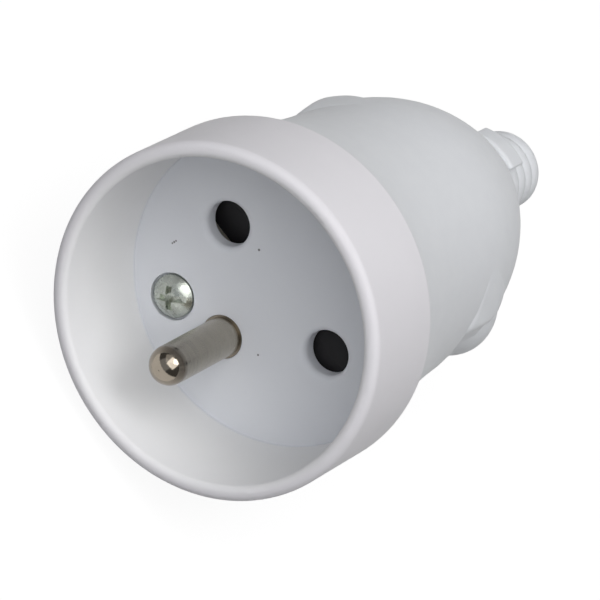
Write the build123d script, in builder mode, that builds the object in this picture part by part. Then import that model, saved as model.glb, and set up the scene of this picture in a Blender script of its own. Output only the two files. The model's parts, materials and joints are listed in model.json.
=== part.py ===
"""Rewirable two-pole-and-earth trailing socket (female plug), lying on its side.

Every piece is modelled in the socket's own frame: the axis is Z, the front rim
lies in the plane Z = 0, the cable leaves towards +Z, the two contact holes lie
on X and the earth pin stands at +Y. The last section lays the whole socket down
on its side, the way it comes to rest on a table. Units are millimetres.
"""
import os
from math import asin, atan2, cos, degrees, hypot, radians, sin, sqrt

from build123d import *

# Contact layout, common to all plugs of this kind
pin_pitch = 19.0
earth_offset = 10.0
earth_pin_r = 2.4
earth_pin_height = 14.8
contact_hole_r = 2.75
plug_pin_length = 19.0

# Front ring and its recess
ring_r = 21.3
ring_length = 13.5
ring_wall = 1.9
recess_draft = 0.4
recess_depth = 15.5
face_thickness = 2.1
hole_round = 0.75
rim_inner_round = 0.8
rim_outer_round = 1.0
ring_rear_round = 0.4

# Lap joint between the front body and the rear cover
spigot_step = 1.65
spigot_taper = 0.85
lap_clearance = 0.1
seam_gap = 0.15
skirt_step = 2.4
skirt_wall = 1.4
pillar_r = 2.2
chamber_depth = 3.2

# Rear cover: stations of its outside along the axis, the front two given as drops below the ring
cover_step = 0.45
neck_z, neck_drop = 21.4, 2.5
waist_z, waist_r = 33.5, 17.4
belly_z, belly_r = 42.0, 16.8
shoulder_z, shoulder_r = 49.0, 15.05
flank_z, flank_r = 55.4, 12.1
cover_end_z, cover_end_r = 63.4, 7.5
cover_end_round = 0.8
cover_wall = 1.7
cover_end_wall = 2.0

# Grip wings, one on each side: a rounded lobe that flares out behind the waist
wing_axis_x = 11.2
wing_front_z, wing_front_r = 39.0, 16.2
wing_front_rise = 0.15
wing_crest_z, wing_crest_r = 44.5, 17.7
wing_back_z, wing_back_r = 47.0, 16.9
wing_end_z, wing_end_r = 51.0, 13.9

# Finger flutes, hollowed in front of the wings about an axis on the far side so that they fade out
flute_axis_x = -10.0
flute_z, flute_r = 38.5, 16.3
flute_rise = 1.7
flute_half_length = 6.0

# Two tongues that reach from the cover's rear end over the cable sleeve
tongue_centre_deg = -100.0
tongue_span_deg = 50.0
tongue_end_z = 67.2
tongue_outer_r = 7.9
tongue_thickness = 1.7
tongue_crown = 0.9
tongue_crown_round = 0.65
tongue_groove = 0.3
tongue_round = 0.25

# Ribbed cable sleeve
cable_r = 3.9
sleeve_end_z = 76.0
sleeve_neck_r = 4.6
sleeve_flange_r = 6.2
sleeve_flange_thickness = 2.0
rib_pitch = 2.1
rib_height = 0.45
rib_root_first_r, rib_root_last_r = 5.15, 4.5

# Assembly screw, entered from the face
screw_angle_deg = 121.7
screw_r = 1.5
screw_length = 15.0
screw_head_r = 2.65
screw_head_height = 1.9
screw_head_edge = 0.7
screw_head_sink = 0.8
screw_slot_deg = -46.0
screw_slot_width = 0.8
screw_slot_depth = 0.7
cross_arm_length, cross_arm_width, cross_depth = 2.9, 0.75, 1.2
screw_clearance = 0.15
screw_tip_chamfer = 0.5
screw_tip_room = 1.0
counterbore_clearance = 0.3
nut_width = 5.5
nut_thickness = 1.8
nut_clearance = 0.1
nut_chamfer = 0.25
nut_z = 26.5
boss_r = 3.2
boss_end_z = 34.0

# Rotary shutter behind the face
shutter_gap = 0.3
shutter_post_r = 1.9
pivot_clearance = 0.05
shutter_hub_r = 4.4
shutter_hub_thickness = 1.4
shutter_arm_inner = 6.2
shutter_arm_end_gap = 1.4
shutter_lead_edge = 3.4
shutter_trail_edge = 3.1
shutter_ramp_foot = 1.0
shutter_ramp_drop = 1.0
stop_width, stop_thickness = 1.4, 1.2
stop_gap = 0.35
arm_overlap = 0.5

# Hairpin return spring of the shutter
spring_wire_r = 0.25
spring_coil_r = 3.85
spring_leg = 9.5
spring_post_r = 1.0
spring_touch = 0.05

# Insulating contact carrier
flange_gap = 0.15
flange_thickness = 2.0
seat_gap = 0.05
pocket_wall = 1.2
pocket_depth = 13.8
pin_passage_r = 2.9
earth_guide_wall = 0.8
earth_guide_depth = 3.5
shelf_top = -4.7
shelf_thickness = 1.9
shelf_half_width = 8.0
shelf_end_z = 52.0

# Turned brass contacts
contact_sleeve_r = 3.3
contact_bore_r = 2.45
contact_barrel_r = 4.0
contact_barrel_length = 8.0
contact_slit = 0.6
contact_slit_length = 9.0
contact_fit = 0.4
contact_chamfer = 0.4
pin_end_room = 1.0
clip_groove_depth = 0.35
clip_width = 1.5
clip_offset = 2.0
clip_thickness = 0.5
clip_opening_deg = 60.0
wire_hole_r = 1.5
wire_hole_depth = 6.5

# Earth pin in and behind the face
earth_root_r = 2.65
earth_collar_r = 3.4
earth_tail_r = 3.1
earth_tail_end_z = 40.0
earth_fit = 0.05

# Terminal screws
terminal_screw_r = 1.4
terminal_head_r = 2.3
terminal_head_height = 1.7
terminal_stand_off = 0.4
head_round = 0.4
terminal_slot_width, terminal_slot_depth = 0.7, 0.8
thread_clearance = 0.05

# Cord clamp
clamp_z, clamp_length = 46.2, 5.6
clamp_half_width = 7.6
clamp_gap = 2.0
clamp_thickness = 3.6
clamp_screw_x = 5.6
clamp_screw_r = 1.1
clamp_head_r = 1.9
clamp_head_height = 1.5
clamp_edge_round = 0.8

# Lying on its side: turned about its axis so that the heavy side, between the earth pin
# and the assembly screw, is lowest, and tried at steps along the cover's outline
roll_deg = 5.7
lean_steps = 200

# Places worked out from the sizes above
contact_x = pin_pitch / 2
mouth_r = ring_r - ring_wall
floor_r = mouth_r - recess_draft
spigot_r = ring_r - spigot_step
spigot_rear_r = spigot_r - spigot_taper
skirt_r = spigot_rear_r - skirt_step
flange_r = skirt_r - flange_gap
cover_front_r = ring_r - cover_step
neck_r = ring_r - neck_drop
floor_z = recess_depth
face_rear_z = recess_depth + face_thickness
chamber_rear_z = face_rear_z + chamber_depth
flange_z = chamber_rear_z + seat_gap
pocket_z = flange_z + flange_thickness
pocket_end_z = pocket_z + pocket_depth
contact_front_z = pocket_z + seat_gap
contact_barrel_z = pocket_end_z + seat_gap
contact_end_z = contact_barrel_z + contact_barrel_length
cover_front_z = ring_length + seam_gap
cover_seat_z = face_rear_z + seat_gap
cover_rear_wall_z = cover_end_z - cover_end_wall
screw_off_axis = skirt_r - pillar_r
screw_x = screw_off_axis * cos(radians(screw_angle_deg))
screw_y = screw_off_axis * sin(radians(screw_angle_deg))
screw_seat_z = floor_z + screw_head_sink
shutter_reach = skirt_r - skirt_wall - shutter_arm_end_gap
shutter_arm_outer = sqrt(shutter_reach**2 - shutter_lead_edge**2)
contact_sides = {"live": contact_x, "neutral": -contact_x}


# Front body: ring, recess, face and shutter chamber in one moulding
with BuildPart() as front_body:
    with BuildSketch(Plane.XZ) as ring_section:
        with BuildLine():
            Polyline(
                (mouth_r, 0),
                (ring_r, 0),
                (ring_r, ring_length),
                (spigot_r, ring_length),
                (spigot_rear_r, face_rear_z),
                (0, face_rear_z),
                (0, floor_z),
                (floor_r, floor_z),
                close=True,
            )
        make_face()
        fillet(ring_section.vertices().group_by(Axis.Y)[0].sort_by(Axis.X)[0], rim_inner_round)
        fillet(ring_section.vertices().group_by(Axis.Y)[0].sort_by(Axis.X)[-1], rim_outer_round)
        fillet(ring_section.vertices().group_by(Axis.X)[-1].sort_by(Axis.Y)[-1], ring_rear_round)
    revolve(axis=Axis.Z)
    with BuildSketch(Plane.XY.offset(face_rear_z)):
        Circle(skirt_r)
        Circle(skirt_r - skirt_wall, mode=Mode.SUBTRACT)
        with Locations((screw_x, screw_y)):
            Circle(pillar_r)
    extrude(amount=chamber_depth)
    with BuildSketch(Plane.XY.offset(face_rear_z)):
        Circle(shutter_post_r)
    extrude(amount=chamber_depth - seat_gap)
    spring_post_y = -(spring_coil_r + spring_wire_r + spring_touch + spring_post_r)
    with BuildSketch(Plane.XY.offset(face_rear_z)):
        with Locations((spring_leg - spring_post_r, spring_post_y)):
            Circle(spring_post_r)
    extrude(amount=chamber_depth - shutter_gap)
    stop_x = shutter_arm_inner - stop_width / 2
    stop_y = shutter_trail_edge + stop_gap + stop_thickness / 2
    with BuildSketch(Plane.XY.offset(face_rear_z)):
        with Locations((stop_x, -stop_y), (-stop_x, stop_y)):
            Rectangle(stop_width, stop_thickness)
    extrude(amount=chamber_depth / 2)
    with Locations((contact_x, 0, face_rear_z), (-contact_x, 0, face_rear_z)):
        Hole(contact_hole_r, depth=face_thickness)
    hole_mouths = front_body.edges(Select.LAST).filter_by(GeomType.CIRCLE).group_by(Axis.Z)[0]
    fillet(hole_mouths, hole_round)
    with Locations((0, earth_offset, face_rear_z)):
        Hole(earth_root_r + earth_fit, depth=face_thickness)
    with Locations(Plane((screw_x, screw_y, floor_z), z_dir=(0, 0, -1))):
        CounterBoreHole(
            screw_r + screw_clearance,
            screw_head_r + counterbore_clearance,
            screw_head_sink,
            depth=face_thickness + chamber_depth,
        )


# One grip wing, turned about an axis nearer to its side so that it fades out all round
with BuildPart() as grip_wing:
    wing_core_r = (wing_axis_x + wing_end_r) / 2
    with BuildSketch(Plane.XZ):
        with BuildLine():
            crest = Spline(
                (wing_front_r, wing_front_z),
                (wing_crest_r, wing_crest_z),
                (wing_back_r, wing_back_z),
                (wing_end_r, wing_end_z),
                tangents=[(wing_front_rise, 1), (wing_end_r - wing_back_r, wing_end_z - wing_back_z)],
            )
            Polyline(crest @ 1, (wing_core_r, wing_end_z), (wing_core_r, wing_front_z), crest @ 0)
        make_face()
    revolve(axis=Axis((wing_axis_x, 0, 0), (0, 0, 1)))


# Cutter for one finger flute
with BuildPart() as finger_flute:
    flute_front_z = flute_z - flute_half_length
    flute_end_z = flute_z + flute_half_length
    flute_edge_r = flute_r + flute_rise
    with BuildSketch(Plane.XZ):
        with BuildLine():
            hollow = ThreePointArc(
                (flute_edge_r, flute_front_z), (flute_r, flute_z), (flute_edge_r, flute_end_z)
            )
            Polyline(hollow @ 1, (ring_r, flute_end_z), (ring_r, flute_front_z), hollow @ 0)
        make_face()
    revolve(axis=Axis((flute_axis_x, 0, 0), (0, 0, 1)))


# One rear tongue, a curved bar with a rounded crown on a narrower foot
with BuildPart() as tongue:
    tongue_inner_r = tongue_outer_r - tongue_thickness
    tongue_foot_r = tongue_outer_r - tongue_crown
    tongue_crown_z = cover_end_z + tongue_groove
    with BuildSketch(Plane.XZ.rotated((0, 0, tongue_centre_deg - tongue_span_deg / 2))):
        with BuildLine():
            Polyline(
                (tongue_foot_r, cover_rear_wall_z),
                (tongue_foot_r, tongue_crown_z),
                (tongue_outer_r, tongue_crown_z),
                (tongue_outer_r, tongue_end_z),
                (tongue_inner_r, tongue_end_z),
                (tongue_inner_r, cover_rear_wall_z),
                close=True,
            )
        make_face()
    revolve(axis=Axis.Z, revolution_arc=tongue_span_deg)
    tongue_rims = tongue.edges().filter_by(GeomType.CIRCLE).group_by(SortBy.RADIUS)[-1]
    fillet(tongue_rims, tongue_crown_round)
    tongue_ends = tongue.faces().filter_by(GeomType.PLANE).filter_by(Axis.Z, reverse=True)
    fillet(tongue_ends.edges().group_by(Axis.Z)[-1], tongue_round)


# Rear cover: waisted ogive shell with wings, screw boss and rear tongues
with BuildPart() as rear_cover:
    with BuildSketch(Plane.XZ):
        with BuildLine() as cover_outline:
            cover_side = Spline(
                (cover_front_r, cover_front_z),
                (neck_r, neck_z),
                (waist_r, waist_z),
                (belly_r, belly_z),
                (shoulder_r, shoulder_z),
                (flank_r, flank_z),
                (cover_end_r, cover_end_z),
            )
            Polyline(cover_side @ 1, (0, cover_end_z), (0, cover_front_z), cover_side @ 0)
        make_face()
    revolve(axis=Axis.Z)
    fillet(rear_cover.edges().group_by(Axis.Z)[-1], cover_end_round)
    add(finger_flute.part, mode=Mode.SUBTRACT)
    add(finger_flute.part.mirror(Plane.YZ), mode=Mode.SUBTRACT)
    add(grip_wing.part)
    add(grip_wing.part.mirror(Plane.YZ))
    add(tongue.part)
    add(tongue.part.rotate(Axis.Z, 180))
    with BuildSketch(Plane.XZ):
        with BuildLine():
            Polyline(
                (spigot_r + lap_clearance, cover_front_z),
                (spigot_rear_r + lap_clearance, cover_seat_z),
                (skirt_r + lap_clearance, cover_seat_z),
                (skirt_r + lap_clearance, pocket_z),
                (waist_r - cover_wall, waist_z),
                (belly_r - cover_wall, belly_z),
                (shoulder_r - cover_wall, shoulder_z),
                (flank_r - cover_wall, flank_z),
                (sleeve_flange_r + lap_clearance, cover_rear_wall_z),
                (0, cover_rear_wall_z),
                (0, cover_front_z),
                close=True,
            )
        make_face()
    revolve(axis=Axis.Z, mode=Mode.SUBTRACT)
    with BuildSketch(Plane.XY.offset(pocket_z + seat_gap)):
        with Locations((screw_x, screw_y)):
            Circle(boss_r)
    extrude(amount=boss_end_z - pocket_z - seat_gap)
    with BuildSketch(Plane.XY.offset(pocket_z + seat_gap)):
        with Locations((screw_x, screw_y)):
            Circle(screw_r + screw_clearance)
    extrude(amount=screw_seat_z + screw_length + screw_tip_room - pocket_z, mode=Mode.SUBTRACT)
    nut_plane = Plane(
        origin=(screw_x, screw_y, nut_z - nut_clearance), x_dir=(-screw_x, -screw_y, 0), z_dir=(0, 0, 1)
    )
    with BuildSketch(nut_plane):
        with Locations((boss_r / 2, 0)):
            Rectangle(nut_width + boss_r + 2 * nut_clearance, nut_width + 2 * nut_clearance)
    extrude(amount=nut_thickness + 2 * nut_clearance, mode=Mode.SUBTRACT)
    with Locations((0, 0, cover_end_z)):
        Hole(sleeve_neck_r + lap_clearance, depth=cover_end_wall)


# Ribbed cable sleeve, held by its flange behind the cover's rear wall
with BuildPart() as cable_sleeve:
    rib_start_z = cover_end_z + lap_clearance
    rib_count = round((sleeve_end_z - rib_start_z) / rib_pitch)
    rib_length = (sleeve_end_z - rib_start_z) / rib_count
    rib_step = (rib_root_first_r - rib_root_last_r) / rib_count
    with BuildSketch(Plane.XZ):
        with BuildLine():
            flange_front_z = cover_rear_wall_z - lap_clearance - sleeve_flange_thickness
            Polyline(
                (rib_root_first_r, rib_start_z),
                (sleeve_neck_r, rib_start_z),
                (sleeve_neck_r, cover_rear_wall_z - lap_clearance),
                (sleeve_flange_r, cover_rear_wall_z - lap_clearance),
                (sleeve_flange_r, flange_front_z),
                (cable_r, flange_front_z),
                (cable_r, sleeve_end_z),
                (rib_root_last_r, sleeve_end_z),
            )
            for rib in range(rib_count):
                foot = (rib_root_first_r - rib_step * rib, rib_start_z + rib_length * rib)
                head = (foot[0] - rib_step / 2 + rib_height, foot[1] + rib_length / 2)
                far_foot = (foot[0] - rib_step, foot[1] + rib_length)
                ThreePointArc(foot, head, far_foot)
        make_face()
    revolve(axis=Axis.Z)


# Assembly screw with a slotted cross recess, and its square nut
with BuildPart() as assembly_screw:
    with BuildSketch(Plane.XZ):
        with BuildLine():
            head_top_z = screw_seat_z - screw_head_height
            head_edge_z = screw_seat_z - screw_head_edge
            dome = TangentArc((0, head_top_z), (screw_head_r, head_edge_z), tangent=(1, 0))
            Polyline(
                dome @ 1,
                (screw_head_r, screw_seat_z),
                (screw_r, screw_seat_z),
                (screw_r, screw_seat_z + screw_length),
                (0, screw_seat_z + screw_length),
                dome @ 0,
            )
        make_face()
    revolve(axis=Axis.Z)
    chamfer(assembly_screw.edges().group_by(Axis.Z)[-1], screw_tip_chamfer)
    with BuildSketch(Plane.XY.offset(head_top_z)):
        Rectangle(2 * screw_head_r, screw_slot_width, rotation=screw_slot_deg)
    extrude(amount=screw_slot_depth, mode=Mode.SUBTRACT)
    with BuildSketch(Plane.XY.offset(head_top_z)):
        Rectangle(cross_arm_length, cross_arm_width, rotation=screw_slot_deg)
        Rectangle(cross_arm_width, cross_arm_length, rotation=screw_slot_deg)
    extrude(amount=cross_depth, mode=Mode.SUBTRACT)
assembly_screw.part.position = (screw_x, screw_y, 0)

with BuildPart() as captive_nut:
    with BuildSketch(nut_plane.offset(nut_clearance)):
        Rectangle(nut_width, nut_width)
        Circle(screw_r + thread_clearance, mode=Mode.SUBTRACT)
    extrude(amount=nut_thickness)
    chamfer(captive_nut.edges().filter_by(GeomType.CIRCLE), nut_chamfer)


# Rotary shutter: hub on the central post, two arms with entry ramps
with BuildPart() as shutter:
    shutter_z = face_rear_z + shutter_gap
    shutter_rear_z = chamber_rear_z - shutter_gap
    with BuildSketch(Plane.XY.offset(shutter_z)):
        Circle(shutter_hub_r)
        Rectangle(2 * (shutter_arm_inner + arm_overlap), 2 * shutter_trail_edge)
        Circle(shutter_post_r + pivot_clearance, mode=Mode.SUBTRACT)
    extrude(amount=shutter_hub_thickness)
    for side in (1, -1):
        with BuildSketch(Plane.YZ.offset(side * shutter_arm_inner)):
            with BuildLine():
                Polyline(
                    (side * shutter_lead_edge, shutter_z),
                    (side * shutter_ramp_foot, shutter_z),
                    (-side * shutter_trail_edge, shutter_z + shutter_ramp_drop),
                    (-side * shutter_trail_edge, shutter_rear_z),
                    (side * shutter_lead_edge, shutter_rear_z),
                    close=True,
                )
            make_face()
        extrude(amount=side * (shutter_arm_outer - shutter_arm_inner))


# Hairpin spring that turns the shutter back over the holes
with BuildPart() as shutter_spring:
    spring_z = chamber_rear_z - shutter_gap - 2 * spring_wire_r
    with BuildLine(Plane.XY.offset(spring_z)) as spring_path:
        leg_moving = Line((spring_leg, spring_coil_r), (0, spring_coil_r))
        CenterArc((0, 0), spring_coil_r, 90, 180)
        Line((0, -spring_coil_r), (spring_leg, -spring_coil_r))
    with BuildSketch(Plane(leg_moving @ 0, z_dir=leg_moving % 0)):
        Circle(spring_wire_r)
    sweep(path=spring_path.wires()[0])


# Insulating carrier for the contacts, with the cord clamp's shelf behind it
with BuildPart() as contact_carrier:
    pocket_r = contact_sleeve_r + contact_fit
    guide_r = earth_tail_r + earth_fit
    saddle_top = -clamp_gap / 2
    with BuildSketch(Plane.XY.offset(flange_z)):
        Circle(flange_r)
    extrude(amount=flange_thickness)
    with BuildSketch(Plane.XY.offset(pocket_z)):
        with Locations((contact_x, 0), (-contact_x, 0)):
            Circle(pocket_r + pocket_wall)
    extrude(amount=pocket_depth)
    with BuildSketch(Plane.XY.offset(pocket_z)):
        with Locations((0, earth_offset)):
            Circle(guide_r + earth_guide_wall)
    extrude(amount=earth_guide_depth)
    with BuildSketch(Plane.XY.offset(pocket_z)):
        with Locations((0, shelf_top - shelf_thickness / 2)):
            Rectangle(2 * shelf_half_width, shelf_thickness)
    extrude(amount=shelf_end_z - pocket_z)
    with BuildSketch(Plane.XY.offset(clamp_z)):
        with Locations((0, (shelf_top + saddle_top) / 2)):
            Rectangle(2 * clamp_half_width, saddle_top - shelf_top)
    extrude(amount=clamp_length)
    with BuildSketch(Plane.XY.offset(clamp_z)):
        Circle(cable_r)
    extrude(amount=shelf_end_z - clamp_z, mode=Mode.SUBTRACT)
    with BuildSketch(Plane.XY.offset(pocket_z)):
        with Locations((contact_x, 0), (-contact_x, 0)):
            Circle(pocket_r)
    extrude(amount=pocket_depth, mode=Mode.SUBTRACT)
    with Locations((contact_x, 0, pocket_z), (-contact_x, 0, pocket_z)):
        Hole(pin_passage_r, depth=flange_thickness)
    with Locations((0, earth_offset, pocket_z + earth_guide_depth)):
        Hole(guide_r, depth=earth_guide_depth + flange_thickness)
    with Locations((screw_x, screw_y, pocket_z)):
        Hole(screw_r + screw_clearance, depth=flange_thickness)
    clamp_mid_z = clamp_z + clamp_length / 2
    with Locations(Plane((0, saddle_top, clamp_mid_z), x_dir=(1, 0, 0), z_dir=(0, 1, 0))):
        with Locations((clamp_screw_x, 0), (-clamp_screw_x, 0)):
            Hole(clamp_screw_r + thread_clearance, depth=saddle_top - shelf_top + shelf_thickness)


# Turned contact: slit sleeve in front, terminal barrel behind
contact_terminal_z = contact_end_z - contact_barrel_length / 2
contacts = {}
clips = {}
terminal_screws = {}
for pole, x in contact_sides.items():
    with BuildPart() as contact:
        with BuildSketch(Plane.XY.offset(contact_front_z)):
            with Locations((x, 0)):
                Circle(contact_sleeve_r)
        extrude(amount=contact_barrel_z - contact_front_z)
        with BuildSketch(Plane.XY.offset(contact_barrel_z)):
            with Locations((x, 0)):
                Circle(contact_barrel_r)
        extrude(amount=contact_barrel_length)
        chamfer(contact.edges().group_by(Axis.Z)[-1], contact_chamfer)
        bore_end_z = floor_z + plug_pin_length + pin_end_room
        with BuildSketch(Plane.XY.offset(contact_front_z)):
            with Locations((x, 0)):
                Circle(contact_bore_r)
        extrude(amount=bore_end_z - contact_front_z, mode=Mode.SUBTRACT)
        with BuildSketch(Plane.XY.offset(contact_front_z + clip_offset)):
            with Locations((x, 0)):
                Circle(contact_sleeve_r)
                Circle(contact_sleeve_r - clip_groove_depth, mode=Mode.SUBTRACT)
        extrude(amount=clip_width + 2 * thread_clearance, mode=Mode.SUBTRACT)
        with BuildSketch(Plane.XY.offset(contact_front_z)):
            with Locations((x, 0)):
                Rectangle(2 * contact_sleeve_r, contact_slit)
                Rectangle(contact_slit, 2 * contact_sleeve_r)
        extrude(amount=contact_slit_length, mode=Mode.SUBTRACT)
        with Locations((x, 0, contact_end_z)):
            Hole(wire_hole_r, depth=wire_hole_depth)
        with Locations(Plane((x, contact_barrel_r, contact_terminal_z), z_dir=(0, 1, 0))):
            Hole(terminal_screw_r + thread_clearance, depth=contact_barrel_r)
    contacts[pole] = contact

    with BuildPart() as clip:
        clip_z = contact_front_z + clip_offset + thread_clearance
        clip_inner_r = contact_sleeve_r - clip_groove_depth + thread_clearance
        with BuildSketch(Plane.XY.offset(clip_z)):
            with Locations((x, 0)):
                Circle(clip_inner_r + clip_thickness)
                Circle(clip_inner_r, mode=Mode.SUBTRACT)
            with BuildLine():
                reach = 2 * contact_sleeve_r
                opening = radians(clip_opening_deg / 2)
                Polyline(
                    (x, 0),
                    (x + reach * sin(opening), reach * cos(opening)),
                    (x - reach * sin(opening), reach * cos(opening)),
                    close=True,
                )
            make_face(mode=Mode.SUBTRACT)
        extrude(amount=clip_width)
    clips[pole] = clip


# Earth pin, turned in one piece: domed pin, root in the face, collar behind it, terminal tail
earth_terminal_z = earth_tail_end_z - wire_hole_depth / 2
with BuildPart() as earth_pin:
    tip_z = floor_z - earth_pin_height
    collar_z = face_rear_z + seat_gap
    collar_end_z = chamber_rear_z - seat_gap
    with BuildSketch(Plane.XZ):
        with BuildLine():
            tip = CenterArc((0, tip_z + earth_pin_r), earth_pin_r, -90, 90)
            Polyline(
                tip @ 1,
                (earth_pin_r, floor_z),
                (earth_root_r, floor_z),
                (earth_root_r, collar_z),
                (earth_collar_r, collar_z),
                (earth_collar_r, collar_end_z),
                (earth_tail_r, collar_end_z),
                (earth_tail_r, earth_tail_end_z),
                (0, earth_tail_end_z),
                tip @ 0,
            )
        make_face()
    revolve(axis=Axis.Z)
    chamfer(earth_pin.edges().group_by(Axis.Z)[-1], contact_chamfer)
    with Locations((0, 0, earth_tail_end_z)):
        Hole(wire_hole_r, depth=wire_hole_depth)
    with Locations(Plane((earth_tail_r, 0, earth_terminal_z), z_dir=(1, 0, 0))):
        Hole(terminal_screw_r + thread_clearance, depth=earth_tail_r)
earth_pin.part.position = (0, earth_offset, 0)


def slotted_screw(seat, shank_r, shank_length, head_r, head_height):
    """Cheese-head screw whose head sits on the seat plane and points along its normal."""
    with BuildPart() as screw:
        with BuildSketch(seat):
            Circle(head_r)
        extrude(amount=head_height)
        head_top = screw.faces().sort_by(Axis(seat.origin, seat.z_dir))[-1]
        fillet(head_top.edges(), head_round)
        with BuildSketch(seat.offset(head_height)):
            Rectangle(2 * head_r, terminal_slot_width)
        extrude(amount=-terminal_slot_depth, mode=Mode.SUBTRACT)
        with BuildSketch(seat):
            Circle(shank_r)
        extrude(amount=-shank_length)
    return screw


for pole, x in contact_sides.items():
    head_y = contact_barrel_r + terminal_stand_off
    head_seat = Plane((x, head_y, contact_terminal_z), z_dir=(0, 1, 0))
    terminal_screws[pole] = slotted_screw(
        head_seat, terminal_screw_r, head_y, terminal_head_r, terminal_head_height
    )
head_x = earth_tail_r + terminal_stand_off
earth_seat = Plane((head_x, earth_offset, earth_terminal_z), z_dir=(1, 0, 0))
terminal_screws["earth"] = slotted_screw(
    earth_seat, terminal_screw_r, head_x, terminal_head_r, terminal_head_height
)


# Cord clamp: a bar with a trough over the cable, drawn down by two screws
with BuildPart() as cord_clamp:
    bar_foot = clamp_gap / 2
    with BuildSketch(Plane.XY.offset(clamp_z)) as bar_section:
        with Locations((0, bar_foot + clamp_thickness / 2)):
            Rectangle(2 * clamp_half_width, clamp_thickness)
        fillet(bar_section.vertices().group_by(Axis.Y)[-1], clamp_edge_round)
        Circle(cable_r, mode=Mode.SUBTRACT)
    extrude(amount=clamp_length)
    with Locations(Plane((0, bar_foot + clamp_thickness, clamp_mid_z), x_dir=(1, 0, 0), z_dir=(0, 1, 0))):
        with Locations((clamp_screw_x, 0), (-clamp_screw_x, 0)):
            Hole(clamp_screw_r + screw_clearance, depth=clamp_thickness)

clamp_screws = {}
for side, x in {"left": -clamp_screw_x, "right": clamp_screw_x}.items():
    bar_top = bar_foot + clamp_thickness
    clamp_seat = Plane((x, bar_top + thread_clearance, clamp_mid_z), z_dir=(0, 1, 0))
    shank_length = bar_top - shelf_top + shelf_thickness / 2
    clamp_screws[side] = slotted_screw(
        clamp_seat, clamp_screw_r, shank_length, clamp_head_r, clamp_head_height
    )


pieces = {
    "front_body": front_body,
    "rear_cover": rear_cover,
    "cable_sleeve": cable_sleeve,
    "contact_carrier": contact_carrier,
    "shutter": shutter,
    "shutter_spring": shutter_spring,
    "live_contact": contacts["live"],
    "neutral_contact": contacts["neutral"],
    "live_contact_clip": clips["live"],
    "neutral_contact_clip": clips["neutral"],
    "earth_pin": earth_pin,
    "live_terminal_screw": terminal_screws["live"],
    "neutral_terminal_screw": terminal_screws["neutral"],
    "earth_terminal_screw": terminal_screws["earth"],
    "assembly_screw": assembly_screw,
    "captive_nut": captive_nut,
    "cord_clamp": cord_clamp,
    "left_clamp_screw": clamp_screws["left"],
    "right_clamp_screw": clamp_screws["right"],
}

# Lay the socket on its side: one line touches the ring's rear round and the cover's outline
round_r = ring_r - ring_rear_round
round_z = ring_length - ring_rear_round
leans = []
for step in range(1, lean_steps + 1):
    touch = cover_side @ (step / lean_steps)
    if touch.Y > pocket_z:
        reach = hypot(round_r - touch.X, touch.Y - round_z)
        leans.append(atan2(round_r - touch.X, touch.Y - round_z) + asin(ring_rear_round / reach))
lean = min(leans)
axis_height = round_r * cos(lean) + round_z * sin(lean) + ring_rear_round
lying = Plane(origin=(0, 0, 0), x_dir=(1, 0, 0), z_dir=(0, cos(lean), -sin(lean))).location
lying = lying * Rot(0, 0, -roll_deg)
laid_box = Compound(children=[lying * piece.part for piece in pieces.values()]).bounding_box()
rest = Pos(0, -laid_box.center().Y, axis_height) * lying
print("leans back by", round(degrees(lean), 3), "degrees; rest place", rest)

os.makedirs("parts", exist_ok=True)
for name, piece in pieces.items():
    laid = rest * piece.part
    laid.label = name
    export_step(laid, f"parts/{name}.step")
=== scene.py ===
"""Looks of the trailing socket: moulded plastics, plated pin, screws, light and camera.

Places are written in the socket's own frame, in millimetres: Z is its axis from the front
rim towards the cable, the two contact holes lie on X and the earth pin stands at +Y.
"""
import json
from math import cos, radians, sin

import bmesh
import bpy
from mathutils import Matrix, Vector
from mathutils.bvhtree import BVHTree


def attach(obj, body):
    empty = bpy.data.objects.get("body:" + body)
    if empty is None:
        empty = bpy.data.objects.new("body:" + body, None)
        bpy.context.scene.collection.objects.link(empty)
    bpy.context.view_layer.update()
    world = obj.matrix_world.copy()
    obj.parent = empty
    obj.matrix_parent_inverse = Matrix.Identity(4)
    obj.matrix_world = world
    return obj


MM = 0.001

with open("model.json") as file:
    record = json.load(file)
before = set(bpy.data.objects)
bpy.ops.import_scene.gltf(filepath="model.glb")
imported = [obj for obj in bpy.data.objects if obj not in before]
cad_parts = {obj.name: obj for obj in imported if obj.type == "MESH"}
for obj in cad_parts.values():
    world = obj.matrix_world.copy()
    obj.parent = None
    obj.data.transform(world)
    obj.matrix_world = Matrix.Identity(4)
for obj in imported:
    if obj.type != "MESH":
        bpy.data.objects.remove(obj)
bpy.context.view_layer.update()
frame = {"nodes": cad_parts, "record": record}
nodes = frame["nodes"]
mounts = {mount["name"]: mount for mount in frame["record"]["mounts"]}


# The socket's own frame, from its holes and its cable entry
live_hole = Vector(mounts["live_hole"]["pos_m"])
neutral_hole = Vector(mounts["neutral_hole"]["pos_m"])
axis_z = Vector(mounts["cable_entry"]["axis"]).normalized()
axis_x = (live_hole - neutral_hole).normalized()
axis_y = axis_z.cross(axis_x)
hole_middle = (live_hole + neutral_hole) / 2
rim_depth = min(vertex.co.dot(axis_z) for vertex in nodes["front_body"].data.vertices)
rim_centre = hole_middle + axis_z * (rim_depth - hole_middle.dot(axis_z))
socket_turn = Matrix((axis_x, axis_y, axis_z)).transposed()


def at(x, y, z):
    """Place in the scene of a point given in the socket's frame, in millimetres."""
    return rim_centre + socket_turn @ Vector((x, y, z)) * MM


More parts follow.
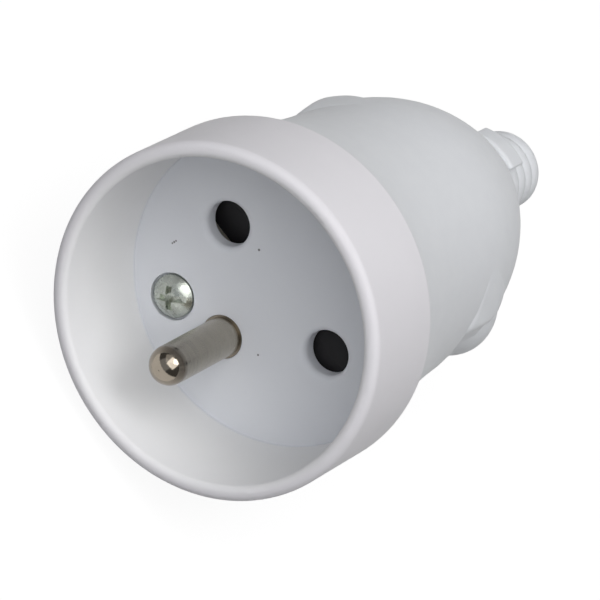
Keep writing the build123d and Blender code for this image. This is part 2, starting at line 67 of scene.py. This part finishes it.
# Node helpers for the materials
class Shader:
    """A material whose nodes are added and linked by short calls."""

    def __init__(self, name, **settings):
        self.material = bpy.data.materials.new(name)
        self.material.use_nodes = True
        self.tree = self.material.node_tree
        self.surface = self.tree.nodes["Principled BSDF"]
        for socket, value in settings.items():
            self.surface.inputs[socket.replace("_", " ")].default_value = value

    def add(self, kind, inputs=None, **settings):
        node = self.tree.nodes.new(kind)
        for key, value in settings.items():
            setattr(node, key, value)
        for socket, value in (inputs or {}).items():
            if isinstance(value, bpy.types.NodeSocket):
                self.tree.links.new(value, node.inputs[socket])
            else:
                node.inputs[socket].default_value = value
        return node

    def set(self, socket, value):
        self.tree.links.new(value, self.surface.inputs[socket])

    def place(self):
        """Coordinates in the socket's own frame, in millimetres."""
        back = socket_turn.transposed()
        mapping = self.add(
            "ShaderNodeMapping",
            {
                "Vector": self.add("ShaderNodeTexCoord").outputs["Object"],
                "Location": -(back @ rim_centre) / MM,
                "Rotation": back.to_euler(),
                "Scale": (1 / MM, 1 / MM, 1 / MM),
            },
        )
        return mapping.outputs["Vector"]

    def along_axis(self, place):
        return self.add("ShaderNodeSeparateXYZ", {"Vector": place}).outputs["Z"]

    def off_axis(self, place):
        flattened = {0: place, 1: (1.0, 1.0, 0.0)}
        across = self.add("ShaderNodeVectorMath", flattened, operation="MULTIPLY").outputs[0]
        return self.add("ShaderNodeVectorMath", {0: across}, operation="LENGTH").outputs["Value"]

    def distance(self, place, point):
        inputs = {0: place, 1: point}
        return self.add("ShaderNodeVectorMath", inputs, operation="DISTANCE").outputs["Value"]

    def noise(self, place, scale, detail=3.0, roughness=0.55):
        inputs = {"Vector": place, "Scale": scale, "Detail": detail, "Roughness": roughness}
        return self.add("ShaderNodeTexNoise", inputs).outputs["Fac"]

    def rings(self, along, per_mm):
        """Fine rings along the socket's axis, as a lathe leaves them."""
        inputs = {"W": along, "Scale": per_mm, "Detail": 3.0}
        return self.add("ShaderNodeTexNoise", inputs, noise_dimensions="1D").outputs["Fac"]

    def between(self, value, low, high, low_to=0.0, high_to=1.0):
        inputs = {"Value": value, 1: low, 2: high, 3: low_to, 4: high_to}
        return self.add("ShaderNodeMapRange", inputs).outputs["Result"]

    def spread(self, noise, low_to, high_to):
        """The usual range of a noise, from about 0.3 to 0.7, spread between two values."""
        return self.between(noise, 0.3, 0.7, low_to, high_to)

    def product(self, first, second):
        return self.add("ShaderNodeMath", {0: first, 1: second}, operation="MULTIPLY").outputs[0]

    def mix(self, factor, first, second):
        """Blend of two colours; the node keeps its colour sockets behind those of other types."""
        inputs = {0: factor, 6: first, 7: second}
        return self.add("ShaderNodeMix", inputs, data_type="RGBA").outputs[2]

    def bump(self, height, distance_mm):
        inputs = {"Height": height, "Distance": distance_mm * MM}
        self.set("Normal", self.add("ShaderNodeBump", inputs).outputs["Normal"])


def tone(red, green, blue):
    """Colour written as it looks on screen, from 0 to 255."""
    return tuple(((value / 255 + 0.055) / 1.055) ** 2.4 for value in (red, green, blue)) + (1.0,)


# Depth of the face, where its painted shade fades in, and the radii between which the recess wall's
# painted light gives way to the outside's tone
face_z, face_fade = 15.5, 0.6
recess_edge_r, outside_r = 19.2, 20.4
# Dark specks on the face: place across the socket and radius, in millimetres.
# The last three make up one dash
face_specks = [
    (-4.81, -1.42, 0.2), (4.42, 7.49, 0.17),
    (-12.19, 7.56, 0.15), (-12.15, 7.26, 0.18), (-12.11, 6.96, 0.15),
]
speck_tone = tone(96, 94, 96)


def white_plastic():
    """Satin moulded plastic with faint clouding, uneven gloss and a few specks on the face; the
    recess wall is painted lighter (painted light) and the face darker and bluer (painted shade).
    """
    shader = Shader("white_plastic", Specular_IOR_Level=0.2)
    place = shader.place()
    cloud = shader.noise(place, 0.09)
    outside = shader.mix(cloud, tone(230, 228, 232), tone(235, 233, 237))
    # Painted light and shade: the recess wall is painted lighter than the outside, and the face
    # darker and bluer
    wall = shader.mix(cloud, tone(237, 237, 238), tone(241, 241, 241))
    face = shader.mix(cloud, tone(227, 229, 235), tone(233, 235, 239))
    on_face = shader.between(shader.along_axis(place), face_z - face_fade, face_z)
    on_outside = shader.between(shader.off_axis(place), recess_edge_r, outside_r)
    colour = shader.mix(on_outside, shader.mix(on_face, wall, face), outside)
    for x, y, radius in face_specks:
        offset = shader.distance(place, (x, y, face_z))
        colour = shader.mix(shader.between(offset, radius, radius * 0.4), colour, speck_tone)
    shader.set("Base Color", colour)
    shader.set("Roughness", shader.spread(shader.noise(place, 0.6), 0.42, 0.52))
    shader.bump(shader.noise(place, 3.0, detail=5.0), 0.012)
    return shader.material


def moulded(name, dark, light, roughness):
    """Plain moulded plastic with a fine grain."""
    shader = Shader(name, Specular_IOR_Level=0.2)
    place = shader.place()
    shader.set("Base Color", shader.mix(shader.noise(place, 0.4), dark, light))
    unevenness = 0.05
    smooth, dull = roughness - unevenness, roughness + unevenness
    shader.set("Roughness", shader.spread(shader.noise(place, 1.1), smooth, dull))
    shader.bump(shader.noise(place, 6.0), 0.01)
    return shader.material


def turned_metal(name, dark, light, roughness, rings_per_mm):
    """Lathe-turned metal: fine rings along the axis and a slightly uneven plating."""
    shader = Shader(name, Metallic=1.0)
    place = shader.place()
    rings = shader.rings(shader.along_axis(place), rings_per_mm)
    shader.set("Base Color", shader.mix(shader.noise(place, 0.7), dark, light))
    shader.set("Roughness", shader.spread(rings, roughness - 0.05, roughness + 0.07))
    shader.bump(rings, 0.004)
    return shader.material


# Along the pin: where its glossy tip, painted darker, gives way to the turned shank, and where the
# painted shade at its root starts
pin_tip_end, pin_shank_start = 2.6, 3.4
pin_root_start, pin_root_full = face_z - 0.5, face_z - 0.1


def plated_pin():
    """Nickel-plated pin: glossy tip painted darker to stand for the darker surroundings it
    reflects, finely turned shank, and painted shade where it meets the face.
    """
    shader = Shader("plated_brass", Metallic=1.0)
    place = shader.place()
    along = shader.along_axis(place)
    rings = shader.rings(along, 9.0)
    cloud = shader.noise(place, 0.7)
    turned = shader.mix(cloud, tone(170, 164, 151), tone(186, 180, 168))
    # Painted shade: the tip gets a darker colour than the shank, standing for the darker
    # surroundings its reflection shows
    tip_painted_darker = shader.mix(cloud, tone(147, 138, 125), tone(160, 151, 138))
    shank = shader.between(along, pin_tip_end, pin_shank_start)
    plating = shader.mix(shank, tip_painted_darker, turned)
    # Painted shade: the pin is darker where it meets the face
    root_shade = shader.between(along, pin_root_start, pin_root_full)
    shader.set("Base Color", shader.mix(root_shade, plating, tone(140, 132, 120)))
    gloss = shader.between(shank, 0.0, 1.0, 0.12, 0.27)
    shader.set("Roughness", shader.product(gloss, shader.spread(rings, 0.9, 1.2)))
    shader.bump(rings, 0.001)
    return shader.material


def zinc_plating():
    """Bright zinc, cloudy and a little uneven."""
    shader = Shader("zinc_steel", Metallic=1.0)
    place = shader.place()
    cloud = shader.noise(place, 1.2)
    shader.set("Base Color", shader.mix(cloud, tone(182, 187, 178), tone(208, 212, 204)))
    shader.set("Roughness", shader.spread(cloud, 0.2, 0.34))
    shader.bump(shader.noise(place, 2.5, detail=5.0), 0.03)
    return shader.material


finishes = {
    "white_plastic": white_plastic(),
    "sleeve_vinyl": moulded("sleeve_vinyl", tone(224, 226, 230), tone(233, 235, 238), 0.45),
    "carrier_plastic": moulded("carrier_plastic", tone(206, 201, 188), tone(216, 212, 200), 0.55),
    "shutter_plastic": moulded("shutter_plastic", tone(30, 29, 31), tone(38, 37, 39), 0.5),
    "contact_brass": turned_metal(
        "contact_brass", tone(206, 178, 112), tone(222, 198, 138), roughness=0.3, rings_per_mm=9.0
    ),
    "plated_brass": plated_pin(),
    "zinc_steel": zinc_plating(),
    "spring_steel": turned_metal(
        "spring_steel", tone(150, 150, 154), tone(176, 176, 180), roughness=0.25, rings_per_mm=5.0
    ),
}
# The rear cover is from another batch of the same plastic, a shade cooler
cover_plastic = moulded("cover_plastic", tone(225, 227, 231), tone(231, 233, 236), 0.47)

for part in frame["record"]["subparts"]:
    piece = nodes[part["node"]]
    piece.data.materials.clear()
    piece.data.materials.append(finishes[part["material_slot"]])
nodes["rear_cover"].data.materials[0] = cover_plastic


# Grip ridges on the rear cover, beside each finger flute. At each angle from the wing, in degrees:
# where the crest lies along the axis, its height, and how far it falls off to the front and to the
# back, in millimetres
ridge_angles = [8.0, 13.5, 16.0, 18.0, 21.0, 24.0, 27.0, 30.0, 35.0, 41.7, 44.0]
ridge_crest_z = [40.6, 40.2, 39.9, 39.7, 39.7, 40.3, 40.9, 40.8, 39.9, 38.7, 38.4]
ridge_height = [0.50, 0.60, 0.70, 0.80, 0.86, 0.76, 0.61, 0.46, 0.26, 0.02, -0.10]
ridge_front = [5.2, 5.6, 5.8, 5.8, 5.8, 6.0, 6.2, 5.8, 4.2, 1.8, 1.2]
ridge_back = [4.4, 4.6, 4.8, 5.0, 4.8, 4.2, 3.4, 2.9, 2.3, 1.4, 1.2]
# How far below the cover's surface the ridge's skirt and its foot lie
ridge_sunk, ridge_foot = 0.08, 0.5
# The ridge grows out of the wing's flank over these degrees, and over this share of its own height
ridge_grows_from, ridge_grows_to, ridge_grows_share = 8.0, 22.0, 0.35
ridge_z_start, ridge_z_end, ridge_z_steps, ridge_angle_steps = 33.5, 50.0, 66, 66


def along_list(value, keys, values):
    """Value at a place between the keys, on a smooth curve through their values."""
    last = len(keys) - 1
    low = max(index for index in range(last) if index == 0 or keys[index] <= value)

    def slope(index):
        before, after = max(index - 1, 0), min(index + 1, last)
        return (values[after] - values[before]) / (keys[after] - keys[before])

    gap = keys[low + 1] - keys[low]
    share = (value - keys[low]) / gap
    rest = 1 - share
    ends = values[low] * (1 + 2 * share) * rest**2 + values[low + 1] * (1 + 2 * rest) * share**2
    return ends + gap * share * rest * (slope(low) * rest - slope(low + 1) * share)


def cover_radius(across, upward, z, cover_tree):
    """The cover's radius at a depth, measured in one direction from the axis."""
    far = 40.0
    start = at(far * across, far * upward, z)
    place, _, _, _ = cover_tree.ray_cast(start, at(0, 0, z) - start)
    return far - (start - place).length / MM


def spaced(start, end, count):
    """Values from start to end in even steps."""
    return [start + (end - start) * step / count for step in range(count + 1)]


def eased(share):
    """Zero below 0, one above 1, and a smooth rise between."""
    share = min(max(share, 0.0), 1.0)
    return share * share * (3 - 2 * share)


def grip_ridge(name, side, cover_tree):
    """A soft swelling on the cover that rises from the wing's flank and dies out above it."""
    depths = spaced(ridge_z_start, ridge_z_end, ridge_z_steps)
    turns = spaced(ridge_angles[0], ridge_angles[-1], ridge_angle_steps)
    plain_radii = [cover_radius(0, 1, z, cover_tree) for z in depths]
    mesh = bmesh.new()
    top, foot = [], []
    for turn_deg in turns:
        crest_z = along_list(turn_deg, ridge_angles, ridge_crest_z)
        height = along_list(turn_deg, ridge_angles, ridge_height)
        front = along_list(turn_deg, ridge_angles, ridge_front)
        back = along_list(turn_deg, ridge_angles, ridge_back)
        grown = eased((turn_deg - ridge_grows_from) / (ridge_grows_to - ridge_grows_from))
        across, upward = side * cos(radians(turn_deg)), -sin(radians(turn_deg))
        top.append([])
        foot.append([])
        for z, plain in zip(depths, plain_radii):
            reach = (crest_z - z) / front if z < crest_z else (z - crest_z) / back
            share = max(0.0, 1 - reach**2)
            cover = cover_radius(across, upward, z, cover_tree)
            sunk = cover - ridge_sunk
            swollen = max(sunk, plain + height * share)
            radius = sunk + (swollen - sunk) * grown * eased(share / ridge_grows_share)
            for layer, off_axis in ((top, radius), (foot, cover - ridge_foot)):
                layer[-1].append(mesh.verts.new(at(across * off_axis, upward * off_axis, z)))
    last_turn, last_z = len(turns) - 1, len(depths) - 1
    for i in range(last_turn):
        for j in range(last_z):
            for grid in (top, foot):
                mesh.faces.new((grid[i][j], grid[i + 1][j], grid[i + 1][j + 1], grid[i][j + 1]))
    for i in range(last_turn):
        for j in (0, last_z):
            mesh.faces.new((top[i][j], top[i + 1][j], foot[i + 1][j], foot[i][j]))
    for j in range(last_z):
        for i in (0, last_turn):
            mesh.faces.new((top[i][j], top[i][j + 1], foot[i][j + 1], foot[i][j]))
    bmesh.ops.recalc_face_normals(mesh, faces=mesh.faces)
    data = bpy.data.meshes.new(name)
    mesh.to_mesh(data)
    mesh.free()
    for polygon in data.polygons:
        polygon.use_smooth = True
    data.materials.append(cover_plastic)
    ridge = bpy.data.objects.new(name, data)
    bpy.context.scene.collection.objects.link(ridge)
    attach(ridge, "socket")


cover_mesh = nodes["rear_cover"].data
cover_points = [vertex.co for vertex in cover_mesh.vertices]
cover_faces = [tuple(polygon.vertices) for polygon in cover_mesh.polygons]
cover_surface = BVHTree.FromPolygons(cover_points, cover_faces)
grip_ridge("right_grip_ridge", 1, cover_surface)
grip_ridge("left_grip_ridge", -1, cover_surface)


# Camera at the photograph's viewing angle
camera_place = at(63.117, -320.518, -492.017)
camera_forward = socket_turn @ Vector((-0.10019703, 0.52922546, 0.84254434))
camera_up = socket_turn @ Vector((-0.79129755, -0.555733, 0.25496865))
camera_right = camera_forward.cross(camera_up)
focal_pixels, frame_pixels, sensor_mm = 5187.47, 600, 36.0

camera = bpy.data.objects.new("camera", bpy.data.cameras.new("camera"))
bpy.context.scene.collection.objects.link(camera)
camera.data.sensor_width = sensor_mm
camera.data.lens = focal_pixels / frame_pixels * sensor_mm
camera.data.clip_start, camera.data.clip_end = 0.05, 20.0
turn = Matrix((camera_right, camera_up, -camera_forward)).transposed()
camera.matrix_world = Matrix.Translation(camera_place) @ turn.to_4x4()
bpy.context.scene.camera = camera


lamp_aim, lamp_distance = at(0, 0, 15), 0.7


def lamp(name, direction, size, watts, colour=(1.0, 1.0, 1.0)):
    """Square soft light; its direction is right, up and back, as seen from the camera."""
    light = bpy.data.lights.new(name, "AREA")
    light.shape, light.size, light.energy, light.color = "SQUARE", size, watts, colour
    lamp_object = bpy.data.objects.new(name, light)
    bpy.context.scene.collection.objects.link(lamp_object)
    right, up, back = direction
    towards = (camera_right * right + camera_up * up - camera_forward * back).normalized()
    lamp_object.location = lamp_aim + towards * lamp_distance
    lamp_object.rotation_euler = towards.to_track_quat("Z", "Y").to_euler()


lamp("key_light", (0.62, 0.28, 0.73), 0.35, 1.3)
lamp("front_light", (0.35, 0.15, 0.92), 0.7, 3.2)
lamp("fill_light", (-0.5, 0.0, 0.85), 0.9, 0.75, colour=(0.94, 0.99, 1.06))
lamp("upper_light", (0.1, 0.6, 0.8), 0.6, 0.5)
lamp("rear_light", (0.45, 0.4, -0.8), 0.6, 0.9)


def pale_floor(reach, white_strength, shadow_share, bounce):
    """Flat floor, white to the camera, in metal and through gaps; it keeps the object's shadow."""
    mesh = bpy.data.meshes.new("floor")
    corners = [(-reach, -reach, 0), (reach, -reach, 0), (reach, reach, 0), (-reach, reach, 0)]
    mesh.from_pydata(corners, [], [(0, 1, 2, 3)])
    floor = bpy.data.objects.new("floor", mesh)
    bpy.context.scene.collection.objects.link(floor)

    material = bpy.data.materials.new("floor")
    material.use_nodes = True
    tree = material.node_tree
    tree.nodes.clear()

    def join(kind, first, second, **settings):
        node = tree.nodes.new(kind)
        for key, value in settings.items():
            setattr(node, key, value)
        tree.links.new(first, node.inputs[0])
        tree.links.new(second, node.inputs[1])
        return node

    rays = tree.nodes.new("ShaderNodeLightPath").outputs
    direct = join("ShaderNodeMath", rays["Is Camera Ray"], rays["Is Glossy Ray"], operation="ADD")
    through = rays["Is Transmission Ray"]
    seen = join("ShaderNodeMath", direct.outputs[0], through, operation="ADD", use_clamp=True)
    white = tree.nodes.new("ShaderNodeEmission")
    white.inputs["Strength"].default_value = white_strength
    matte = tree.nodes.new("ShaderNodeBsdfDiffuse")
    matte.inputs["Color"].default_value = (shadow_share, shadow_share, shadow_share, 1)
    unseen = tree.nodes.new("ShaderNodeBsdfDiffuse")
    unseen.inputs["Color"].default_value = (bounce, bounce, bounce, 1)
    shown = join("ShaderNodeAddShader", white.outputs[0], matte.outputs[0])
    pick = tree.nodes.new("ShaderNodeMixShader")
    output = tree.nodes.new("ShaderNodeOutputMaterial")
    tree.links.new(seen.outputs[0], pick.inputs[0])
    tree.links.new(unseen.outputs[0], pick.inputs[1])
    tree.links.new(shown.outputs[0], pick.inputs[2])
    tree.links.new(pick.outputs[0], output.inputs["Surface"])
    mesh.materials.append(material)


pale_floor(reach=6.0, white_strength=0.92, shadow_share=0.12, bounce=0.3)

world = bpy.data.worlds.new("studio")
bpy.context.scene.world = world
world.use_nodes = True
background = world.node_tree.nodes["Background"].inputs
background["Color"].default_value = (1.0, 1.0, 1.0, 1)
background["Strength"].default_value = 0.1

bpy.context.scene.view_settings.view_transform = "Standard"
